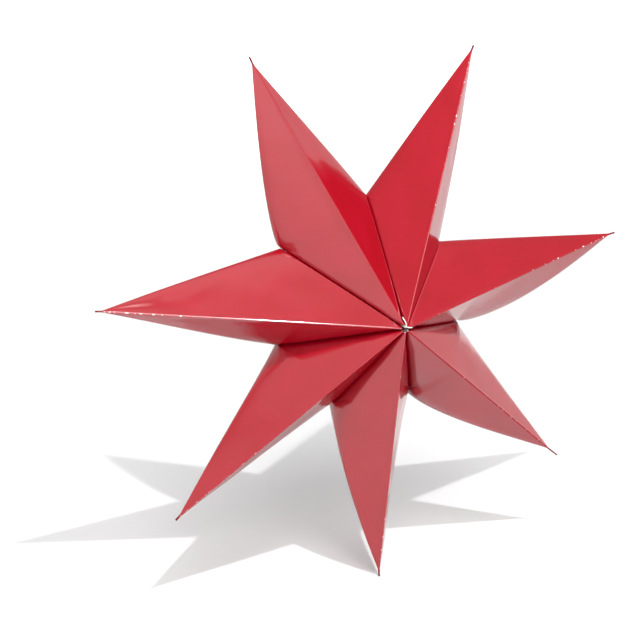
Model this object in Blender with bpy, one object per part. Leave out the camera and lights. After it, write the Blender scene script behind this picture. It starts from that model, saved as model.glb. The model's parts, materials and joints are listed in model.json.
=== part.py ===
"""A seven-pointed paper star that folds flat like a fan, hung by a hole in its top valley.

Each point is a hollow pouch of two card panels, seamed along a front ridge and a back ridge.
Neighbouring pouches are glued back to back over a flat triangle, the wall between them.
The star's axis runs along Y, its front faces -Y, and one point hangs straight down.
The origin is the middle of the hanging hole.
"""
import math

import bmesh
import bpy
from mathutils import Vector

# Driving dimensions, in metres
POINTS = 7
HALF_DEPTH = 0.090  # from the star's middle plane to the front or back end of the walls
CARD = 0.0004  # thickness of the coated card
GLUE = 0.0002  # thickness of a glue film or of the closing tape
GAP = 0.0003  # clearance between pieces that touch

# The star is folded by hand, so each point and each valley is a little its own.
# Points and valleys go clockwise from the top; the first valley is the top one.
TIP_RADII = (0.300, 0.306, 0.301, 0.301, 0.300, 0.302, 0.303)
VALLEY_RADII = (0.1255, 0.1065, 0.106, 0.1035, 0.1065, 0.109, 0.122)
LEAN = (0.5, -3.5, -2.0, 1.0, 2.5, 6.0, -1.5)  # degrees in the star's plane
PINCHED_END = (0.005, 0.006, 0.014, 0.006, 0.005, 0.006, 0.008)  # flat end of each tip
# How far each panel bellies out beyond a straight side, left and right of each point
BELLY = (
    (0.0, 0.0015),
    (0.001, 0.015),
    (-0.0015, 0.010),
    (-0.002, 0.0085),
    (0.0, 0.003),
    (0.0025, 0.002),
    (0.011, -0.0005),
)
ROUNDING = 0.10  # of a panel's side, as a share of its depth; 0 would be a sharp crease

# The small opening round the axis, and the thread that gathers the walls there
INNER_EDGE = 0.0040  # from the axis to the inner end of a panel
SLOT_START = 0.0052
SLOT_END = 0.0082
SLOT_DEPTH = 0.076  # from the middle plane to the thread slot
SLOT_HALF_WIDTH = 0.0013
THREAD_RADIUS = 0.0006
THREAD_RING = 0.0067
THREAD_TURN = 0.0047  # radius at which the thread's ends leave the ring towards the axis
THREAD_LOW = 0.0005  # heights above the ridges' ends, from where the thread comes out
THREAD_MIDDLE = 0.0014
THREAD_HIGH = 0.0024
LONG_END = 0.013
SHORT_END = 0.004
END_SPACING = 0.0022  # from the axis to each of the thread's ends, side by side
END_SHIFT = 0.00055  # sideways, where the long end comes out

# The glued triangle and the closing tapes
GLUE_START = 0.014  # from the axis to the inner end of a glue film
GLUE_MARGIN = 0.006  # bare card left along the valleys
TAPE_WIDTH = 0.012
TAPE_LENGTH = 0.070

HANG_HOLE_RADIUS = 0.002
HANG_HOLE_TO_AXIS = 0.1135
HANG_HOLE_SIDES = 16
PUNCH_LENGTH = 0.02

# The mesh's fineness
RIDGE_STRIPS = 3  # cells between a ridge and a wall
WALL_ROWS = (0.028, 0.062)  # rows of points along a wall, between its slots and its valley
OUTER_ROWS = 7  # cells between a valley's bottom and a tip's pinched end
MIN_STRIP = 0.004  # narrowest band of card between a ridge and a wall
TIP_HALF_DEPTH = 0.0007  # half the height of the pinched end
RING_STEPS = 12
CURVE_STEPS = 2  # steps between two points of the thread's route

STEP = 2 * math.pi / POINTS
TOP = math.pi / 2
AXIS_POINT = Vector((0, 0, -HANG_HOLE_TO_AXIS))
RIDGE_CLEARANCE = CARD / 2 + GAP / 2  # from a point's middle plane to a panel's edge
WALL_OFFSET = CARD / 2 + GAP + GLUE / 2  # from a wall's middle plane to a panel's middle

RED = (0.62, 0.018, 0.035, 1)
WHITE = (0.85, 0.82, 0.78, 1)
CLEAR_GLUE = (0.78, 0.72, 0.60, 1)


def clear_scene():
    for obj in list(bpy.data.objects):
        bpy.data.objects.remove(obj, do_unlink=True)


def material(name, colour, roughness):
    made = bpy.data.materials.new(name)
    made.use_nodes = True
    shader = made.node_tree.nodes["Principled BSDF"]
    shader.inputs["Base Color"].default_value = colour
    shader.inputs["Roughness"].default_value = roughness
    shader.inputs["Metallic"].default_value = 0.0
    return made


def wall_angle(number):
    """Walls are numbered 0 to 7 clockwise from the top; 0 and 7 are the two end walls."""
    return TOP - number * STEP


def point_angle(number):
    """Points are numbered 1 to 7 clockwise from the top."""
    return TOP - (number - 0.5) * STEP + math.radians(LEAN[number - 1])


def place(radius, angle, depth, sideways=0.0):
    """A place given by its distance from the axis, its angle in the star's plane, its depth
    towards the back, and an offset at right angles to the radius, counterclockwise."""
    along = Vector((math.cos(angle), 0, math.sin(angle)))
    across = Vector((-math.sin(angle), 0, math.cos(angle)))
    return AXIS_POINT + along * radius + across * sideways + Vector((0, depth, 0))


def object_from_bmesh(name, mesh_data, skin):
    mesh = bpy.data.meshes.new(name)
    mesh_data.to_mesh(mesh)
    mesh_data.free()
    mesh.materials.append(skin)
    obj = bpy.data.objects.new(name, mesh)
    bpy.context.collection.objects.link(obj)
    return obj


def set_origin(obj, origin):
    """Moves the object's origin and leaves its shape where it is."""
    for vertex in obj.data.vertices:
        vertex.co -= origin
    obj.location = origin


def rise_at(level):
    """Outline across a point: 0 at the ridge, level 1, and 1 in the middle plane, level 0.
    It is straight near the ridge and rounded near the middle plane."""
    return (math.hypot(1, ROUNDING) - math.hypot(level, ROUNDING)) / (
        math.hypot(1, ROUNDING) - ROUNDING
    )


def level_at(rise):
    """The level at which the outline has risen that far."""
    reach = math.hypot(1, ROUNDING) - rise * (math.hypot(1, ROUNDING) - ROUNDING)
    return math.sqrt(max(0.0, reach**2 - ROUNDING**2))


class PanelShape:
    """One panel, in its point's frame: x runs from the axis towards the tip, y sideways."""

    def __init__(self, number, wall, belly):
        half_angle = abs(wall_angle(wall) - point_angle(number))
        self.slope = math.tan(half_angle)
        self.setback = WALL_OFFSET / math.cos(half_angle)
        self.belly = belly
        self.valley_x = VALLEY_RADII[wall % POINTS] * math.cos(half_angle)
        self.end_x = TIP_RADII[number - 1]
        self.hollow_end_x = self.end_x - PINCHED_END[number - 1]

    def ridge(self, x):
        """Half depth at the ridges, which are straight as far as the tip's pinched end."""
        return max(HALF_DEPTH * (1 - x / self.hollow_end_x), TIP_HALF_DEPTH)

    def wall(self, x):
        return x * self.slope - self.setback

    def side(self, x):
        """Half width in the star's middle plane: the wall first, then the bellied side."""
        if x <= self.valley_x:
            return self.wall(x)
        if x >= self.hollow_end_x:
            return RIDGE_CLEARANCE
        return self.straight_side(x) + self.belly * self.swell(x)

    def straight_side(self, x):
        share = (self.hollow_end_x - x) / (self.hollow_end_x - self.valley_x)
        return RIDGE_CLEARANCE + (self.wall(self.valley_x) - RIDGE_CLEARANCE) * share

    def swell(self, x):
        """Rises to 1 a third of the way from the valley to the tip, and ends level."""
        s = (x - self.valley_x) / (self.hollow_end_x - self.valley_x)
        return 27 / 4 * s * (1 - s) ** 2

    def wall_share(self, x):
        """How much of the way from the middle plane to the ridge the flat wall reaches."""
        if x >= self.valley_x - 1e-6:
            return 0.0
        beyond = self.straight_side(x) - RIDGE_CLEARANCE
        share = level_at((self.wall(x) - RIDGE_CLEARANCE) / beyond)
        return min(share, 1 - MIN_STRIP / self.ridge(x))

    def row(self, x):
        """Depth and half width of the points across the front half, from ridge to middle."""
        top, share, side = self.ridge(x), self.wall_share(x), self.side(x)
        found = []
        for i in range(RIDGE_STRIPS + 1):
            level = 1 - i / RIDGE_STRIPS * (1 - share)
            rise = rise_at(level) / rise_at(share)
            found.append((top * level, RIDGE_CLEARANCE + (side - RIDGE_CLEARANCE) * rise))
        reach = share * top
        slot_share = reach / (self.wall_share(INNER_EDGE) * self.ridge(INNER_EDGE))
        for edge in (SLOT_DEPTH + SLOT_HALF_WIDTH, SLOT_DEPTH - SLOT_HALF_WIDTH):
            found.append((edge * slot_share, side))
        return found


def panel_rows(shape):
    inner = [INNER_EDGE, SLOT_START, SLOT_END, *WALL_ROWS]
    length = shape.hollow_end_x - shape.valley_x
    outer = [shape.valley_x + length * i / OUTER_ROWS for i in range(OUTER_ROWS + 1)]
    return inner + outer + [shape.end_x]


def make_panel(name, number, side, skin):
    """side is +1 for the left panel, on the counterclockwise wall, and -1 for the right."""
    angle = point_angle(number)
    wall = number - 1 if side > 0 else number
    shape = PanelShape(number, wall, BELLY[number - 1][0 if side > 0 else 1])
    data = bmesh.new()
    grid = []
    for x in panel_rows(shape):
        half = shape.row(x)
        whole = [(-d, y) for d, y in half] + [(d, y) for d, y in reversed(half)]
        grid.append([data.verts.new(place(x, angle, d, side * y)) for d, y in whole])
    columns = len(grid[0])
    slots = (RIDGE_STRIPS + 1, columns - RIDGE_STRIPS - 3)
    for i in range(len(grid) - 1):
        for j in range(columns - 1):
            if i == 1 and j in slots:
                continue
            corners = [grid[i][j], grid[i + 1][j], grid[i + 1][j + 1], grid[i][j + 1]]
            data.faces.new(corners if side > 0 else corners[::-1])
    bmesh.ops.remove_doubles(data, verts=data.verts, dist=1e-6)
    bmesh.ops.triangulate(data, faces=data.faces)
    obj = object_from_bmesh(name, data, skin)
    set_origin(obj, AXIS_POINT)
    sheet = obj.modifiers.new("card", "SOLIDIFY")
    sheet.thickness = CARD
    sheet.offset = 0.0
    return obj


def make_plate(name, outline, angle, skin):
    """A thin film in a wall's middle plane; outline holds (radius, depth) pairs."""
    data = bmesh.new()
    corners = [data.verts.new(place(r, angle, d, -GLUE / 2)) for r, d in outline]
    base = data.faces.new(corners)
    grown = bmesh.ops.extrude_face_region(data, geom=[base])
    across = place(0, angle, 0, GLUE) - AXIS_POINT
    raised = [g for g in grown["geom"] if isinstance(g, bmesh.types.BMVert)]
    bmesh.ops.translate(data, verts=raised, vec=across)
    bmesh.ops.recalc_face_normals(data, faces=data.faces)
    obj = object_from_bmesh(name, data, skin)
    set_origin(obj, AXIS_POINT)
    return obj


def make_glue(number, skin):
    """The film of glue that joins two neighbouring pouches, a triangle inside the wall."""
    valley = VALLEY_RADII[number]
    reach = valley - GLUE_MARGIN * 2
    half = HALF_DEPTH * (1 - GLUE_START / valley) - GLUE_MARGIN
    outline = [(GLUE_START, -half), (reach, 0.0), (GLUE_START, half)]
    return make_plate(f"wall_glue_{number}", outline, wall_angle(number), skin)


def make_tape(name, front, skin):
    """A strip of double-sided tape along one sloping edge of the end wall."""
    valley = VALLEY_RADII[0]
    top = Vector((GLUE_START, HALF_DEPTH * (1 - GLUE_START / valley) - GLUE_MARGIN))
    slope = Vector((valley, -HALF_DEPTH)).normalized()
    inward = Vector((-slope.y, slope.x)) * -TAPE_WIDTH
    far = top + slope * TAPE_LENGTH
    corners = [top, far, far + inward, top + inward]
    turn = -1 if front else 1
    outline = [(max(c.x, GLUE_START), c.y * turn) for c in corners]
    return make_plate(name, outline, wall_angle(0), skin)


def smooth_route(route, steps):
    """Points on a curve through the route's own points."""
    ends = [route[0] * 2 - route[1]] + route + [route[-1] * 2 - route[-2]]
    found = []
    for i in range(1, len(ends) - 2):
        a, b, c, d = ends[i - 1 : i + 3]
        for k in range(steps):
            t = k / steps
            found.append(
                (b * 2 + (c - a) * t + (a * 2 - b * 5 + c * 4 - d) * t**2
                 + (b * 3 - a - c * 3 + d) * t**3) / 2
            )
    return found + [route[-1]]


def make_tie(name, front, skin):
    """A thread through the slots of the six glued walls. Its two ends come in to the axis on
    either side of the end walls, run out of the opening and lie over the ridges' ends."""
    turn = -1 if front else 1
    depth = SLOT_DEPTH * turn
    face = HALF_DEPTH * turn
    start, stop = point_angle(POINTS), point_angle(1)
    rise = (HALF_DEPTH + SLOT_DEPTH) / 2 * turn
    route = [
        place(LONG_END, start, face - THREAD_LOW * turn, -END_SPACING),
        place(LONG_END / 2, start, face + THREAD_MIDDLE * turn, -END_SPACING),
        place(END_SPACING, start, face + THREAD_LOW * turn, -END_SHIFT),
        place(END_SPACING, start, rise),
        place(THREAD_TURN, start, depth),
    ]
    sweep = stop - start
    for i in range(RING_STEPS + 1):
        route.append(place(THREAD_RING, start + sweep * i / RING_STEPS, depth))
    route += [
        place(THREAD_TURN, stop, depth),
        place(END_SPACING, stop, rise),
        place(END_SPACING, stop, face + THREAD_LOW * turn),
        place(END_SPACING + SHORT_END, point_angle(2), face + THREAD_HIGH * turn),
    ]
    curve = bpy.data.curves.new(name, "CURVE")
    curve.dimensions = "3D"
    curve.bevel_depth = THREAD_RADIUS
    curve.bevel_resolution = 1
    curve.use_fill_caps = True
    points = smooth_route(route, CURVE_STEPS)
    line = curve.splines.new("POLY")
    line.points.add(len(points) - 1)
    for slot, at in zip(line.points, points):
        slot.co = (*at, 1)
    curve.materials.append(skin)
    obj = bpy.data.objects.new(name, curve)
    bpy.context.collection.objects.link(obj)
    return obj


def punch_hanging_hole(panels):
    """One round hole through the two end walls, where a hanging thread goes through."""
    bpy.ops.mesh.primitive_cylinder_add(
        vertices=HANG_HOLE_SIDES, radius=HANG_HOLE_RADIUS, depth=PUNCH_LENGTH,
        rotation=(0, math.pi / 2, 0),
    )
    punch = bpy.context.active_object
    punch.name = "hanging_hole_punch"
    punch.hide_render = True
    punch.display_type = "WIRE"
    for panel in panels:
        cut = panel.modifiers.new("hanging hole", "BOOLEAN")
        cut.operation = "DIFFERENCE"
        cut.object = punch


def build():
    clear_scene()
    card = material("red coated card", RED, 0.35)
    thread = material("white cotton thread", WHITE, 0.9)
    glue = material("dried glue", CLEAR_GLUE, 0.5)
    tape = material("white double-sided tape", WHITE, 0.7)
    panels = {}
    for number in range(1, POINTS + 1):
        for word, side in (("left", 1), ("right", -1)):
            name = f"point_{number}_{word}_panel"
            panels[number, word] = make_panel(name, number, side, card)
    for number in range(1, POINTS):
        make_glue(number, glue)
    make_tape("closing_tape_front", True, tape)
    make_tape("closing_tape_back", False, tape)
    make_tie("front_tie_thread", True, thread)
    make_tie("back_tie_thread", False, thread)
    punch_hanging_hole([panels[1, "left"], panels[POINTS, "right"]])


build()
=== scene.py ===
import json
import math

import bmesh
import bpy
import numpy as np
from mathutils import Matrix, Vector, noise


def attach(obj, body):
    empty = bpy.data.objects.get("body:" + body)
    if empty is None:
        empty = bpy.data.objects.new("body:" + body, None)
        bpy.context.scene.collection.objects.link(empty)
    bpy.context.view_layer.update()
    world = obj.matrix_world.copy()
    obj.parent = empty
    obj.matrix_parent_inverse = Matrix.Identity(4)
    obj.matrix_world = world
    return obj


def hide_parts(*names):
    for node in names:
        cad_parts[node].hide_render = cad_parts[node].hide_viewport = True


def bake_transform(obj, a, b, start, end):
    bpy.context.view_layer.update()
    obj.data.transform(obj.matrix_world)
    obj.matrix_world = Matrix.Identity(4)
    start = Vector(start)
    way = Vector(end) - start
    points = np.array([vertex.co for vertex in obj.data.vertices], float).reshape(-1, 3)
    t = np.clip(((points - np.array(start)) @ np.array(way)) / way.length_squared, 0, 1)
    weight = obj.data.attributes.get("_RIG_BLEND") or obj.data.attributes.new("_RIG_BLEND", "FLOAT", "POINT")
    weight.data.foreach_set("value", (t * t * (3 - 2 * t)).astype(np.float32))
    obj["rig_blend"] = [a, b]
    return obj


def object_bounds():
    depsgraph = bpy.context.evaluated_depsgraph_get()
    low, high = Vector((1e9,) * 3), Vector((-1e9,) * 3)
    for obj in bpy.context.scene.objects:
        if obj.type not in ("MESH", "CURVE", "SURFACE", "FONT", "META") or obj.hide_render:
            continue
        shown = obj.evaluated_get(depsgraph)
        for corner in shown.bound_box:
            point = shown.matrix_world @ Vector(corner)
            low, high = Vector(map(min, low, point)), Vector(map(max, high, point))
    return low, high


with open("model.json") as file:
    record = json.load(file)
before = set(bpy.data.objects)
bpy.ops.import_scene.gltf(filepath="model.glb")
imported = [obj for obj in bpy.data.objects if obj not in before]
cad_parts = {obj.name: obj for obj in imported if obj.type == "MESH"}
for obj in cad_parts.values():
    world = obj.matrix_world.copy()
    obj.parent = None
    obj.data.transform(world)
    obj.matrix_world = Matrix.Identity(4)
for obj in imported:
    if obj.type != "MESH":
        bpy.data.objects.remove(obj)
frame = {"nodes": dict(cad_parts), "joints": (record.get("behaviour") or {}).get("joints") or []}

cad_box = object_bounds()

# The star's own measures, in metres, as the CAD has them
POINTS = 7
CARD = 0.0004
HALF_DEPTH = 0.090
PANEL_EDGE = 0.00035  # from a point's middle plane to a panel's edge along a ridge
WALL_GAP = 0.00015  # from a wall's middle plane to the card on either side of it
STEP = 2 * math.pi / POINTS
AXIS = Vector(frame["joints"][0]["pos_m"])

# Each point in turn, clockwise from the top: the radii of its tip and of the valley before
# it, how far it leans, and how long its tip's pinched end is
TIP_RADII = (0.300, 0.306, 0.301, 0.301, 0.300, 0.3025, 0.3045)
VALLEY_RADII = (0.1245, 0.1060, 0.1055, 0.1020, 0.1050, 0.1085, 0.1260)
LEAN = (0.5, -3.1, -2.0, 1.0, 2.5, 6.0, -1.4)
PINCHED_END = (0.005, 0.006, 0.014, 0.006, 0.005, 0.006, 0.008)
# Left and right panel of each point: how far the side bellies out
BELLY = (
    (0.0008, 0.0026),
    (0.0005, 0.0150),
    (-0.0012, 0.0105),
    (-0.0025, 0.0074),
    (-0.0010, 0.0014),
    (0.0016, 0.0008),
    (0.0078, 0.0006),
)
# How a panel's belly begins at the valley and ends at the tip: the lower, the more suddenly
BELLY_ENDS = {
    (1, True): (1.5, 1.0),
    (1, False): (1.0, 1.0),
    (2, False): (0.75, 1.1),
    (3, True): (0.5, 1.0),
    (3, False): (0.5, 1.2),
    (4, False): (0.75, 1.0),
    (5, False): (1.0, 1.0),
    (6, False): (1.5, 1.0),
    (7, True): (0.5, 1.0),
}
# Left and right panel of each point: how round the side is; 0 would be a sharp crease
ROUNDING = (
    (0.10, 0.10),
    (0.10, 0.10),
    (0.10, 0.16),
    (0.10, 0.14),
    (0.10, 0.10),
    (0.10, 0.10),
    (0.16, 0.10),
)

INNER_EDGE = 0.0040  # from the axis to a panel's inner end
SLOT_START, SLOT_END = 0.0052, 0.0082
SLOT_DEPTH, SLOT_HALF_WIDTH = 0.076, 0.0013
TIP_HALF_DEPTH = 0.0006
MIN_STRIP = 0.004  # narrowest band of card between a ridge and a wall
HOLE_RADIUS = 0.002
LIP = 0.0008  # how far the left panel laps over the ridge
LAP_RISE = CARD + 0.00005  # from the right panel's middle to the lap's
# Left and right panel of each point: how far from a valley's corner the card starts to bend
BEND = (
    (0.003, 0.003),
    (0.002, 0.004),
    (0.008, 0.010),
    (0.007, 0.010),
    (0.007, 0.010),
    (0.006, 0.0015),
    (0.007, 0.004),
)
# Point and side of the panels that dip beside their valley: where across the panel the dip
# starts, and how steep it is
DIPS = {
    (3, True): (0.65, 0.10),
    (3, False): (0.80, 0.34),
    (4, False): (0.72, 0.30),
    (5, False): (0.66, 0.28),
}
DIP_SOFTNESS = 0.06
DIP_LENGTH = 0.07  # beyond the valley's outer end
# How far the front and back ends of each wall gape open beside the axis, walls 0 to 6
GAPE = (0.0010, 0.0003, 0.0020, 0.0012, 0.0010, 0.0014, 0.0006)
GAPE_LENGTH, GAPE_DEPTH = 0.045, 0.030
# Along each point's ridges: how worn the coat is and how strong the painted highlight along
# the fold is, -1 where the coat is whole; and how many white cracks it has, above all near the tip
FOLD_WEAR_AND_SHEEN = (0.55, 0.20, 0.0, 0.5, 0.35, 0.8, -1.0)
CRACKS = (0.7, 1.0, 0.3, 0.4, 0.5, 0.8, 0.0)
FOLD_HALF_WIDTH = 0.0007  # of the pale line along a fold: worn coat with a painted highlight
WAVES = 0.0008  # height of the card's slow waves
FINE_WAVES = 0.0002
CAMBER = 1.35  # how much closer the columns of a panel lie towards its valley

INNER_ROWS = 20
OUTER_ROWS = 46
STRIP_COLUMNS = 12
BEND_COLUMNS = 6
CREST_COLUMNS = 4
WALL_COLUMNS = 6

# The camera and the light
CAMERA_AZIMUTH, CAMERA_ELEVATION, CAMERA_ROLL = -22.98, 14.09, -1.69
CAMERA_DISTANCE = 2.1
CAMERA_ASIDE, CAMERA_BELOW = 0.0549, 0.0069  # of the view's middle from the star's axis
LENS = 112.5
LAMP_PLACE = (-0.08, -1.67, 1.86)
LAMP_RADIUS = 0.024
LAMP_WATTS = 178
# The room's light by direction: ramps over the sine of the elevation, and round the softbox
WALLS_LIGHT, UPPER_LIGHT, CEILING_LIGHT, SOFTBOX_LIGHT = 0.95, 0.38, 0.90, 9.5
WALLS_END = (0.42, 0.60)
CEILING_START = (0.85, 0.93)
CEILING_END = (0.0, 0.35)
SOFTBOX_ANGLES = (-13, 41)
SOFTBOX_EDGE = (0.955, 0.978)


def from_angles(azimuth, elevation):
    """The direction of a place in front of the star, azimuth counted towards +X, in degrees."""
    a, e = math.radians(azimuth), math.radians(elevation)
    return Vector((math.sin(a) * math.cos(e), -math.cos(a) * math.cos(e), math.sin(e)))


def set_camera():
    """Three quarters from the left and a little above, seen through a long lens."""
    a, r = math.radians(CAMERA_AZIMUTH), math.radians(CAMERA_ROLL)
    back = from_angles(CAMERA_AZIMUTH, CAMERA_ELEVATION)
    level = Vector((math.cos(a), math.sin(a), 0))
    upright = back.cross(level)
    right = level * math.cos(r) + upright * math.sin(r)
    up = upright * math.cos(r) - level * math.sin(r)
    data = bpy.data.cameras.new("camera")
    data.lens = LENS
    data.sensor_width = 36
    data.clip_start, data.clip_end = 0.05, 100
    camera = bpy.data.objects.new("camera", data)
    place = AXIS + back * CAMERA_DISTANCE - right * CAMERA_ASIDE - up * CAMERA_BELOW
    camera.matrix_world = Matrix.Translation(place) @ Matrix((right, up, back)).transposed().to_4x4()
    bpy.context.collection.objects.link(camera)
    bpy.context.scene.camera = camera


# ---------------------------------------------------------------- materials


class Nodes:
    """A short way to write a node tree."""

    def __init__(self, name):
        self.material = bpy.data.materials.new(name)
        self.material.use_nodes = True
        self.tree = self.material.node_tree
        self.shader = self.tree.nodes["Principled BSDF"]

    def add(self, kind, inputs=(), **settings):
        node = self.tree.nodes.new(kind)
        for key, value in settings.items():
            setattr(node, key, value)
        for key, value in dict(inputs).items():
            self.put(node.inputs[key], value)
        return node

    def put(self, socket, value):
        if isinstance(value, bpy.types.NodeSocket):
            self.tree.links.new(value, socket)
        else:
            socket.default_value = value

    def maths(self, operation, *values):
        node = self.add("ShaderNodeMath", operation=operation)
        for socket, value in zip(node.inputs, values):
            self.put(socket, value)
        return node.outputs[0]

    def spread(self, value, low, high, to_low=0.0, to_high=1.0):
        node = self.add("ShaderNodeMapRange", interpolation_type="SMOOTHSTEP")
        for key, x in zip(range(5), (value, low, high, to_low, to_high)):
            self.put(node.inputs[key], x)
        return node.outputs[0]

    def mix(self, share, a, b):
        node = self.add("ShaderNodeMix", data_type="RGBA")
        for key, x in ((0, share), (6, a), (7, b)):
            self.put(node.inputs[key], x)
        return node.outputs[2]

    def noise(self, vector, scale, detail=3.0, roughness=0.5):
        inputs = {"Vector": vector, "Scale": scale, "Detail": detail, "Roughness": roughness}
        return self.add("ShaderNodeTexNoise", inputs).outputs["Fac"]

    def bump(self, height, strength, distance):
        inputs = {"Height": height, "Strength": strength, "Distance": distance}
        return self.add("ShaderNodeBump", inputs).outputs["Normal"]

    def set(self, **values):
        for key, value in values.items():
            self.put(self.shader.inputs[key.replace("_", " ")], value)


def red_card():
    """Gloss-laminated red card. Its coat is cracked to white here and there along a fold.
    The UV map runs in metres: U along the point, V across the panel from the fold."""
    n = Nodes("red_card")
    where = n.add("ShaderNodeUVMap", uv_map="card").outputs["UV"]
    split = n.add("ShaderNodeSeparateXYZ", {"Vector": where}).outputs
    along, across = split[0], split[1]
    fibres = n.noise(where, 900, 4.0, 0.6)
    cloud = n.noise(where, 18, 3.0, 0.5)
    ripple = n.noise(where, 60, 2.0, 0.4)
    deep, light = (0.275, 0.0005, 0.006, 1), (0.312, 0.001, 0.010, 1)
    base = n.mix(n.spread(cloud, 0.3, 0.7), deep, light)
    base = n.mix(n.spread(fibres, 0.2, 0.8, 0.0, 0.25), base, (0.36, 0.003, 0.016, 1))
    marks = n.add("ShaderNodeAttribute", attribute_name="marks")
    split_marks = n.add("ShaderNodeSeparateXYZ", {"Vector": marks.outputs["Vector"]}).outputs
    wear_and_sheen, tipward, pinched = split_marks[0], split_marks[1], split_marks[2]
    # the fold: a pale line of worn coat and painted highlight, and white dashes where the coat has cracked
    from_fold = n.maths("ABSOLUTE", across)
    patches = n.spread(n.noise(where, 140, 3.0, 0.6), 0.25, 0.6, 0.5, 1.0)
    line = n.spread(from_fold, FOLD_HALF_WIDTH, 0.00025)
    worn_and_sheen = n.maths("MULTIPLY", n.maths("MULTIPLY", line, patches), wear_and_sheen)
    along_only = n.add("ShaderNodeCombineXYZ", {"X": along}).outputs[0]
    more_at_tip = n.spread(tipward, 0.3, 1.0, 0.0, 0.10)
    cracks = n.maths("ADD", n.noise(along_only, 230, 2.0, 0.7), more_at_tip)
    band = n.spread(from_fold, FOLD_HALF_WIDTH, 0.0004)
    dashes = n.maths("MULTIPLY", band, n.spread(cracks, 0.64, 0.68))
    cracked = n.maths("MULTIPLY", dashes, marks.outputs["Alpha"])
    # pale pink along the fold: partly worn coat, partly a painted highlight of the rounded fold
    base = n.mix(n.maths("MULTIPLY", worn_and_sheen, 0.8), base, (0.50, 0.16, 0.17, 1))
    base = n.mix(cracked, base, (0.85, 0.78, 0.76, 1))
    # near black and matt at the pinched end of each tip
    base = n.mix(n.maths("MULTIPLY", pinched, 0.75), base, (0.09, 0.004, 0.006, 1))
    surface = n.maths("ADD", n.maths("MULTIPLY", fibres, 0.35), ripple)
    normal = n.bump(surface, 0.10, 0.0006)
    n.set(Base_Color=base, Roughness=n.spread(cloud, 0.2, 0.8, 0.42, 0.52), Normal=normal)
    dull = n.maths("MULTIPLY", line, n.spread(wear_and_sheen, -1.0, 0.0))
    matt = n.maths("MAXIMUM", dull, n.maths("MULTIPLY", pinched, 0.8))
    n.set(Coat_Weight=n.maths("SUBTRACT", 1.0, matt))
    n.set(Specular_IOR_Level=0.0, Coat_Roughness=0.10, Coat_IOR=1.75)
    n.put(n.shader.inputs["Coat Normal"], n.bump(ripple, 0.06, 0.0006))
    return n.material


def white_card(name, colour, grain):
    """Uncoated card: the inside of a point, and the core that shows along a cut edge."""
    n = Nodes(name)
    where = n.add("ShaderNodeUVMap", uv_map="card").outputs["UV"]
    fibres = n.noise(where, grain, 5.0, 0.65)
    dark = tuple(c * 0.86 for c in colour[:3]) + (1,)
    n.set(Base_Color=n.mix(n.spread(fibres, 0.3, 0.7), dark, colour))
    n.set(Roughness=n.spread(fibres, 0.2, 0.8, 0.78, 0.9), Normal=n.bump(fibres, 0.25, 0.0002))
    return n.material


def cotton():
    """Twisted white cotton: fine fibres along the thread, soft and matt."""
    n = Nodes("white_cotton")
    where = n.add("ShaderNodeTexCoord").outputs["Object"]
    fibres = n.noise(where, 5200, 3.0, 0.7)
    shade = n.noise(where, 700, 2.0, 0.5)
    colour = n.mix(n.spread(shade, 0.3, 0.7), (0.80, 0.77, 0.71, 1), (0.93, 0.91, 0.87, 1))
    n.set(Base_Color=n.mix(n.spread(fibres, 0.3, 0.7, 0, 0.35), colour, (0.62, 0.58, 0.52, 1)))
    n.set(Roughness=n.spread(fibres, 0.2, 0.8, 0.82, 0.95), Normal=n.bump(fibres, 0.5, 0.0002))
    n.set(Sheen_Weight=0.25, Sheen_Roughness=0.5)
    return n.material


def tape_film():
    """White double-sided tape: a smooth film with faint streaks along it and trapped air."""
    n = Nodes("white_tape")
    where = n.add("ShaderNodeTexCoord").outputs["Object"]
    streaks = n.noise(where, 420, 3.0, 0.5)
    air = n.add("ShaderNodeTexVoronoi", {"Vector": where, "Scale": 330}).outputs["Distance"]
    blister = n.spread(air, 0.10, 0.22)
    colour = n.mix(n.spread(streaks, 0.3, 0.7), (0.80, 0.78, 0.72, 1), (0.90, 0.88, 0.84, 1))
    n.set(Base_Color=n.mix(n.maths("SUBTRACT", 1.0, blister), colour, (0.72, 0.69, 0.62, 1)))
    n.set(Roughness=n.spread(streaks, 0.2, 0.8, 0.3, 0.5), Normal=n.bump(blister, 0.2, 0.0001))
    return n.material


def dried_glue():
    """A thin dried film of glue, faintly yellow, with brush streaks and small bubbles."""
    n = Nodes("dried_glue")
    where = n.add("ShaderNodeTexCoord").outputs["Object"]
    streaks = n.noise(where, 150, 4.0, 0.6)
    bubbles = n.add("ShaderNodeTexVoronoi", {"Vector": where, "Scale": 500}).outputs["Distance"]
    colour = n.mix(n.spread(streaks, 0.3, 0.7), (0.66, 0.58, 0.42, 1), (0.82, 0.76, 0.63, 1))
    n.set(Base_Color=colour, Roughness=n.spread(streaks, 0.2, 0.8, 0.35, 0.6))
    n.set(Normal=n.bump(n.spread(bubbles, 0.1, 0.3), 0.3, 0.0001))
    return n.material


# ---------------------------------------------------------------- card panels


def wall_angle(number):
    return math.pi / 2 - number * STEP


def point_angle(number):
    return math.pi / 2 - (number - 0.5) * STEP + math.radians(LEAN[number - 1])


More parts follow.
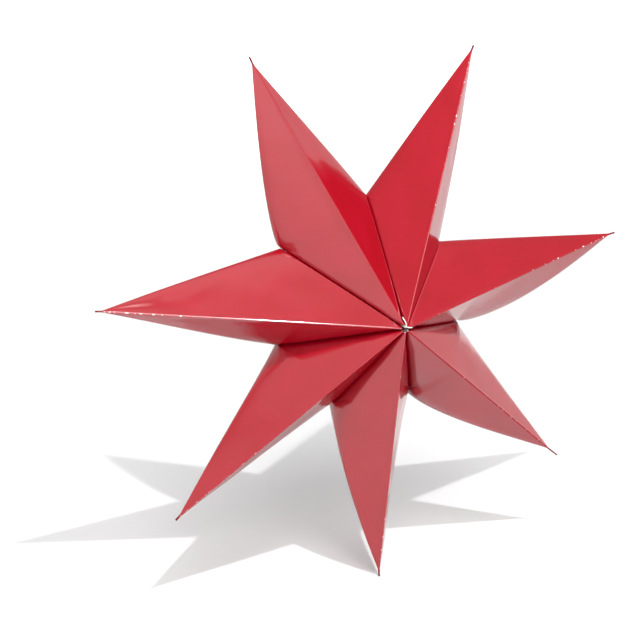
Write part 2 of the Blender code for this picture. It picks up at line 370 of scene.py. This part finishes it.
class Panel:
    """One panel's outline, in its point's frame: x towards the tip, y sideways, d deep."""

    def __init__(self, number, left):
        self.number, self.left = number, left
        wall = number - 1 if left else number
        self.wall_number = wall % POINTS
        half_angle = abs(wall_angle(wall) - point_angle(number))
        column = 0 if left else 1
        self.slope = math.tan(half_angle)
        self.setback = (CARD / 2 + WALL_GAP) / math.cos(half_angle)
        self.belly = BELLY[number - 1][column]
        self.belly_ends = BELLY_ENDS.get((number, left), (1.0, 2.0))
        self.rounding = ROUNDING[number - 1][column]
        self.bend = BEND[number - 1][column]
        self.dip = DIPS.get((number, left))
        self.valley_x = VALLEY_RADII[wall % POINTS] * math.cos(half_angle)
        self.end_x = TIP_RADII[number - 1]
        self.hollow_end_x = self.end_x - PINCHED_END[number - 1]
        self.seed = number * 3.7 + column * 1.9

    def rise_at(self, level):
        full = math.hypot(1, self.rounding)
        return (full - math.hypot(level, self.rounding)) / (full - self.rounding)

    def level_at(self, rise):
        full = math.hypot(1, self.rounding)
        reach = full - rise * (full - self.rounding)
        return math.sqrt(max(0.0, reach**2 - self.rounding**2))

    def ridge(self, x):
        straight = HALF_DEPTH * (1 - x / self.hollow_end_x)
        return math.hypot(max(straight, 0), TIP_HALF_DEPTH)

    def wall(self, x):
        return x * self.slope - self.setback

    def straight_side(self, x):
        share = (self.hollow_end_x - x) / (self.hollow_end_x - self.valley_x)
        return PANEL_EDGE + (self.wall(self.valley_x) - PANEL_EDGE) * share

    def side(self, x):
        if x <= self.valley_x:
            return self.wall(x)
        if x >= self.hollow_end_x:
            return PANEL_EDGE
        s = (x - self.valley_x) / (self.hollow_end_x - self.valley_x)
        start, end = self.belly_ends
        fullest = start / (start + end)
        swell = (s / fullest) ** start * ((1 - s) / (1 - fullest)) ** end
        return self.straight_side(x) + self.belly * swell

    def wall_share(self, x):
        if x >= self.valley_x - 1e-6:
            return 0.0
        beyond = self.straight_side(x) - PANEL_EDGE
        share = self.level_at((self.wall(x) - PANEL_EDGE) / beyond)
        return min(share, 1 - MIN_STRIP / self.ridge(x))

    def ripple(self, x, level, share):
        """Slow waves in the card, none along a fold or in the glued wall."""
        free = (1 - level) * (level - share) * 4
        near_tip = min(1.0, max(0.0, (self.hollow_end_x - x) / 0.05))
        at = Vector((x * 22, level * 2.2, self.seed))
        fine = Vector((x * 60, level * 4, self.seed + 5))
        return free * near_tip * (noise.noise(at) * WAVES + noise.noise(fine) * FINE_WAVES)

    def crown(self, x, t):
        """How far the card stands out beyond flat, highest where it starts to dip."""
        if not self.dip:
            return 0.0
        start, steepness = self.dip
        fade = min(1.0, max(0.0, 1 - (x - self.valley_x) / DIP_LENGTH)) ** 2
        rising, falling = t * (1 - start) / start, 1 - t
        lower = (rising + falling - math.hypot(rising - falling, DIP_SOFTNESS)) / 2
        return steepness * fade * max(lower, 0.0)

    def flare(self, x):
        """How far the front end of the wall stands off its neighbour, beside the axis."""
        share = max(0.0, 1 - (x - INNER_EDGE) / GAPE_LENGTH)
        return min(GAPE[self.wall_number] * share**2, self.wall(x) * 0.5)

    def strip_point(self, x, t):
        """(d, y) on the side of the point, from the ridge at t = 0 to the wall at t = 1."""
        share, side = self.wall_share(x), self.side(x) - self.flare(x)
        level = 1 - (1 - share) * t
        rise = self.rise_at(level) / self.rise_at(share)
        y = PANEL_EDGE + (side - PANEL_EDGE) * rise + self.ripple(x, level, share)
        crown = self.crown(x, t)
        depth = self.ridge(x) * (1 - share)
        return self.ridge(x) * level + (side - PANEL_EDGE) * crown, y + depth * crown

    def wall_point(self, x, depth):
        """(d, y) on the glued wall, which gapes towards its front end beside the axis."""
        open_share = max(0.0, 1 - (self.wall_share(x) * self.ridge(x) - depth) / GAPE_DEPTH)
        return depth, self.side(x) - self.flare(x) * open_share**2

    def half_row(self, x):
        """From the ridge down the side, round the bend and down the wall to its middle, or
        beyond the valley to the middle plane."""
        reach = self.wall_share(x) * self.ridge(x)
        strip = math.dist(self.strip_point(x, 0), self.strip_point(x, 1))
        bend = min(self.bend, strip * 0.45, reach * 0.8)
        last = 1 - bend / strip
        found = []
        for i in range(STRIP_COLUMNS + 1):
            t = last * (1 - (1 - i / STRIP_COLUMNS) ** CAMBER)
            found.append(self.strip_point(x, t))
        inner = reach - bend
        start, corner, end = found[-1], self.strip_point(x, 1), self.wall_point(x, inner)
        for i in range(1, BEND_COLUMNS + 1):
            t = i / BEND_COLUMNS
            a, b, c = (1 - t) ** 2, 2 * t * (1 - t), t**2
            found.append(tuple(a * p + b * q + c * r for p, q, r in zip(start, corner, end)))
        slot_front = min(SLOT_DEPTH + SLOT_HALF_WIDTH, inner * 0.94)
        slot_back = min(SLOT_DEPTH - SLOT_HALF_WIDTH, inner * 0.9)
        depths = [slot_front, slot_back]
        depths += [slot_back * (1 - i / WALL_COLUMNS) for i in range(1, WALL_COLUMNS + 1)]
        return found + [self.wall_point(x, depth) for depth in depths]

    def rows(self):
        inner = [INNER_EDGE, SLOT_START, SLOT_END]
        length = self.valley_x - SLOT_END
        inner += [SLOT_END + length * i / INNER_ROWS for i in range(1, INNER_ROWS)]
        length = self.hollow_end_x - self.valley_x
        outer = [self.valley_x + length * i / OUTER_ROWS for i in range(OUTER_ROWS + 1)]
        pinch = PINCHED_END[self.number - 1]
        return inner + outer + [self.hollow_end_x + pinch * i / 3 for i in (1, 2, 3)]


def crest(own, other):
    """The left panel rolled over the ridge: (d, y) from the end of its lap up to its edge.
    own and other are the half rows of the left and the right panel."""
    def outward(row):
        return math.atan2(row[0][0] - row[1][0], row[1][1] - row[0][1])

    start, stop = outward(own), -outward(other)
    radius = PANEL_EDGE / math.sin(start)
    middle = own[0][0] - radius * math.cos(start)
    found = []
    for i in range(CREST_COLUMNS):
        share = 1 - i / CREST_COLUMNS
        angle = start + (stop - start) * share
        reach = radius + LAP_RISE * share
        found.append((middle + reach * math.cos(angle), reach * math.sin(angle)))
    lip = min(LIP, own[0][0] * 0.4)
    end = (found[0][0] + lip * math.sin(stop), found[0][1] - lip * math.cos(stop))
    return [end] + found


def panel_mesh(panel, other):
    """The panel's middle surface as a grid. The left panel also has the laps over both ridges.
    The UV map is in metres; the marks are the coat's wear with the painted highlight along the
    fold, the place along the point, the pinched tip, and the number of cracks."""
    side = 1 if panel.left else -1
    angle = point_angle(panel.number)
    along = Vector((math.cos(angle), 0, math.sin(angle)))
    across = Vector((-math.sin(angle), 0, math.cos(angle))) * side
    data = bmesh.new()
    layer = data.loops.layers.uv.new("card")
    marks = data.verts.layers.float_color.new("marks")
    grid, places = [], []
    for x in panel.rows():
        row = panel.half_row(x)
        folded = crest(row, other.half_row(x)) if panel.left else []
        half = folded + row
        steps = [math.dist(a, b) for a, b in zip(half, half[1:])]
        first = -sum(steps[: len(folded)]) * 0.6 if folded else PANEL_EDGE
        run = [first + sum(steps[:i]) for i in range(len(half))]
        section = [(-d, y) for d, y in half] + [(d, y) for d, y in reversed(half[:-1])]
        pinched = min(1.0, max(0.0, (x - panel.hollow_end_x) / 0.005 + 0.8))
        mark = (FOLD_WEAR_AND_SHEEN[panel.number - 1], x / panel.end_x, pinched, CRACKS[panel.number - 1])
        line = []
        for d, y in section:
            vertex = data.verts.new(AXIS + along * x + across * y + Vector((0, d, 0)))
            vertex[marks] = mark
            line.append(vertex)
        grid.append(line)
        places.append([(x + panel.seed, v) for v in run + run[-2::-1]])
    columns = len(grid[0])
    slot = len(half) - WALL_COLUMNS - 2
    slots = (slot, columns - slot - 2)
    for i in range(len(grid) - 1):
        for j in range(columns - 1):
            if i == 1 and j in slots:
                continue
            corners = [(i, j), (i + 1, j), (i + 1, j + 1), (i, j + 1)]
            if side < 0:
                corners.reverse()
            face = data.faces.new([grid[a][b] for a, b in corners])
            for loop, (a, b) in zip(face.loops, corners):
                loop[layer].uv = places[a][b]
    bmesh.ops.remove_doubles(data, verts=data.verts, dist=1e-7)
    mesh = bpy.data.meshes.new("panel")
    data.to_mesh(mesh)
    data.free()
    return mesh


def apply_modifiers(obj):
    """Replaces the mesh with what the modifiers make of it."""
    graph = bpy.context.evaluated_depsgraph_get()
    mesh = bpy.data.meshes.new_from_object(obj.evaluated_get(graph))
    obj.modifiers.clear()
    obj.data = mesh


def add_object(name, mesh):
    obj = bpy.data.objects.new(name, mesh)
    bpy.context.collection.objects.link(obj)
    return obj


def hanging_hole_cutter():
    """Round, along X through the origin, which is the middle of the hole."""
    bpy.ops.mesh.primitive_cylinder_add(
        vertices=32, radius=HOLE_RADIUS, depth=0.02, rotation=(0, math.pi / 2, 0)
    )
    return bpy.context.active_object


def turn_share(obj, number):
    """How far each vertex lies from the wall before the point, 0, to the one after it, 1."""
    spots = np.array([v.co for v in obj.data.vertices]) - np.array(AXIS)
    angles = np.arctan2(spots[:, 2], spots[:, 0])
    turned = (wall_angle(number - 1) - angles + math.pi) % (2 * math.pi) - math.pi
    return np.clip(turned / STEP, 0, 1).astype(np.float32)


def body_of(wall):
    if wall == 0:
        return "top_wall"
    return "end_wall" if wall == POINTS else f"wall_{wall}"


def colour_ridge_edges(obj, number):
    """The card's edges along a ridge are inked red by the fold; only the ends show the core."""
    angle = point_angle(number)
    along = Vector((math.cos(angle), 0, math.sin(angle)))
    for face in obj.data.polygons:
        far = (face.center - AXIS).dot(along) > SLOT_END
        if face.material_index == 2 and far and abs(face.normal.dot(along)) < 0.5:
            face.material_index = 0


def make_panel(number, left, skins, cutter):
    panel, other = Panel(number, left), Panel(number, not left)
    word = "left" if left else "right"
    obj = add_object(f"point_{number}_{word}_card", panel_mesh(panel, other))
    for skin in skins:
        obj.data.materials.append(skin)
    sheet = obj.modifiers.new("card", "SOLIDIFY")
    sheet.thickness = CARD
    sheet.offset = 0.0
    sheet.material_offset = 1
    sheet.material_offset_rim = 2
    if (number, left) in ((1, True), (POINTS, False)):
        cut = obj.modifiers.new("hanging hole", "BOOLEAN")
        cut.object = cutter
    apply_modifiers(obj)
    colour_ridge_edges(obj, number)
    obj.data.shade_smooth()
    obj.data.set_sharp_from_angle(angle=math.radians(34))
    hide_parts(f"point_{number}_{word}_panel")
    before, after = point_angle(number) + 0.1, point_angle(number) - 0.1
    start = AXIS + Vector((math.cos(before), 0, math.sin(before))) * 0.1
    end = AXIS + Vector((math.cos(after), 0, math.sin(after))) * 0.1
    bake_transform(obj, body_of(number - 1), body_of(number), start, end)
    weights = obj.data.attributes["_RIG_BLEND"]
    weights.data.foreach_set("value", turn_share(obj, number))


# ---------------------------------------------------------------- thread, tape and glue


def place(radius, angle, depth, sideways=0.0):
    along = Vector((math.cos(angle), 0, math.sin(angle)))
    across = Vector((-math.sin(angle), 0, math.cos(angle)))
    return AXIS + along * radius + across * sideways + Vector((0, depth, 0))


def thread_route(front):
    """The CAD thread's route, in metres."""
    turn = -1 if front else 1
    depth, face, out = SLOT_DEPTH * turn, HALF_DEPTH * turn, 0.0024 * turn
    start, stop = point_angle(POINTS), point_angle(1)
    rise = (face + depth) / 2
    spacing, long_end, short_end, ring = 0.0022, 0.013, 0.004, 0.0067
    route = [
        place(long_end, start, face - out * 0.2, -spacing),
        place(long_end / 2, start, face + out * 0.6, -spacing),
        place(spacing, start, face + out * 0.2, -spacing / 4),
        place(spacing, start, rise),
        place(ring * 0.7, start, depth),
    ]
    steps = POINTS * 2
    sweep = stop - start
    route += [place(ring, start + sweep * i / steps, depth) for i in range(steps + 1)]
    route += [
        place(ring * 0.7, stop, depth),
        place(spacing, stop, rise),
        place(spacing, stop, face + out * 0.2),
        place(spacing + short_end, point_angle(2), face + out),
    ]
    return route


def smooth_route(route, steps):
    ends = [route[0] * 2 - route[1]] + route + [route[-1] * 2 - route[-2]]
    found = []
    for i in range(1, len(ends) - 2):
        a, b, c, d = ends[i - 1 : i + 3]
        for k in range(steps):
            t = k / steps
            square, cube = a * 2 - b * 5 + c * 4 - d, b * 3 - a - c * 3 + d
            found.append((b * 2 + (c - a) * t + square * t**2 + cube * t**3) / 2)
    return found + [route[-1]]


def make_thread(name, front, skin):
    """Two plies twisted about the route."""
    points = smooth_route(thread_route(front), 10)
    plies, twist = 2, 2 * math.pi / 0.0042
    radius, offset = 0.00036, 0.00026
    data = bmesh.new()
    sides = 8
    for ply in range(plies):
        run, rings = 0.0, []
        for i, p in enumerate(points):
            ahead = points[min(i + 1, len(points) - 1)]
            behind = points[max(i - 1, 0)]
            run += (p - behind).length if i else 0.0
            way = (ahead - behind).normalized()
            square = way.orthogonal().normalized() if i == 0 else square - way * square.dot(way)
            square.normalize()
            third = way.cross(square)
            turn = run * twist + ply * math.pi
            middle = p + (square * math.cos(turn) + third * math.sin(turn)) * offset
            rings.append([
                data.verts.new(middle + (square * math.cos(a) + third * math.sin(a)) * radius)
                for a in (2 * math.pi * k / sides for k in range(sides))
            ])
        for a, b in zip(rings, rings[1:]):
            for k in range(sides):
                data.faces.new((a[k], a[(k + 1) % sides], b[(k + 1) % sides], b[k]))
        data.faces.new(rings[0][::-1])
        data.faces.new(rings[-1])
    mesh = bpy.data.meshes.new(name)
    data.to_mesh(mesh)
    data.free()
    obj = add_object(name, mesh)
    obj.data.materials.append(skin)
    obj.data.shade_smooth()
    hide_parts(f"{name.split('_')[0]}_tie_thread")
    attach(obj, "top_wall")


def finish_node(node, skin):
    obj = frame["nodes"][node]
    obj.data.materials.clear()
    obj.data.materials.append(skin)


# ---------------------------------------------------------------- floor and light


def make_floor():
    """A white floor. Beyond the star's shadow it glows, as under a studio's own far lights."""
    low, _ = cad_box
    bpy.ops.mesh.primitive_plane_add(size=60, location=(0, 0, low.z))
    floor = bpy.context.active_object
    floor.name = "floor"
    n = Nodes("floor_white")
    where = n.add("ShaderNodeTexCoord").outputs["Object"]
    away = n.add("ShaderNodeVectorMath", {0: where}, operation="LENGTH").outputs["Value"]
    n.set(Base_Color=(0.80, 0.80, 0.80, 1), Roughness=0.9, Specular_IOR_Level=0.0)
    n.set(Emission_Color=(1, 1, 1, 1), Emission_Strength=n.spread(away, 1.0, 4.0, 0.0, 0.75))
    floor.data.materials.append(n.material)


def set_room():
    """A room with white walls, a dark upper part, a pale ceiling in front and one big softbox."""
    world = bpy.data.worlds.new("white room")
    bpy.context.scene.world = world
    world.use_nodes = True
    tree = world.node_tree

    def ramp(value, low, high, to_low, to_high):
        node = tree.nodes.new("ShaderNodeMapRange")
        node.interpolation_type = "SMOOTHSTEP"
        for socket, number in zip(list(node.inputs)[1:5], (low, high, to_low, to_high)):
            socket.default_value = number
        tree.links.new(value, node.inputs[0])
        return node.outputs[0]

    def join(operation, a, b):
        node = tree.nodes.new("ShaderNodeMath")
        node.operation = operation
        tree.links.new(a, node.inputs[0])
        tree.links.new(b, node.inputs[1])
        return node.outputs[0]

    direction = tree.nodes.new("ShaderNodeTexCoord").outputs["Generated"]
    split = tree.nodes.new("ShaderNodeSeparateXYZ")
    tree.links.new(direction, split.inputs[0])
    walls = ramp(split.outputs["Z"], *WALLS_END, WALLS_LIGHT, UPPER_LIGHT)
    ceiling = ramp(split.outputs["Z"], *CEILING_START, 0.0, CEILING_LIGHT)
    ahead = ramp(split.outputs["Y"], *CEILING_END, 1.0, 0.0)
    facing = tree.nodes.new("ShaderNodeVectorMath")
    facing.operation = "DOT_PRODUCT"
    tree.links.new(direction, facing.inputs[0])
    facing.inputs[1].default_value = from_angles(*SOFTBOX_ANGLES)
    softbox = ramp(facing.outputs["Value"], *SOFTBOX_EDGE, 0.0, SOFTBOX_LIGHT)
    light = join("ADD", join("ADD", walls, join("MULTIPLY", ceiling, ahead)), softbox)
    tree.links.new(light, tree.nodes["Background"].inputs["Strength"])
    tree.nodes["Background"].inputs["Color"].default_value = (1, 1, 1, 1)


def set_lamp():
    """One small bright lamp above the camera."""
    light = bpy.data.lights.new("lamp", "POINT")
    light.energy = LAMP_WATTS
    light.shadow_soft_size = LAMP_RADIUS
    lamp = bpy.data.objects.new("lamp", light)
    lamp.location = LAMP_PLACE
    lamp.visible_camera = False
    bpy.context.collection.objects.link(lamp)


set_camera()
red = red_card()
inside = white_card("card_inside", (0.78, 0.30, 0.30, 1), 700)
core = white_card("card_core", (0.90, 0.80, 0.78, 1), 1500)
cutter = hanging_hole_cutter()
for number in range(1, POINTS + 1):
    for left in (True, False):
        make_panel(number, left, (red, inside, core), cutter)
bpy.data.objects.remove(cutter)
thread_skin = cotton()
make_thread("front_thread", True, thread_skin)
make_thread("back_thread", False, thread_skin)
tape_skin, glue_skin = tape_film(), dried_glue()
for word in ("front", "back"):
    finish_node(f"closing_tape_{word}", tape_skin)
for number in range(1, POINTS):
    finish_node(f"wall_glue_{number}", glue_skin)
make_floor()
set_room()
set_lamp()
bpy.context.scene.view_settings.view_transform = "Standard"
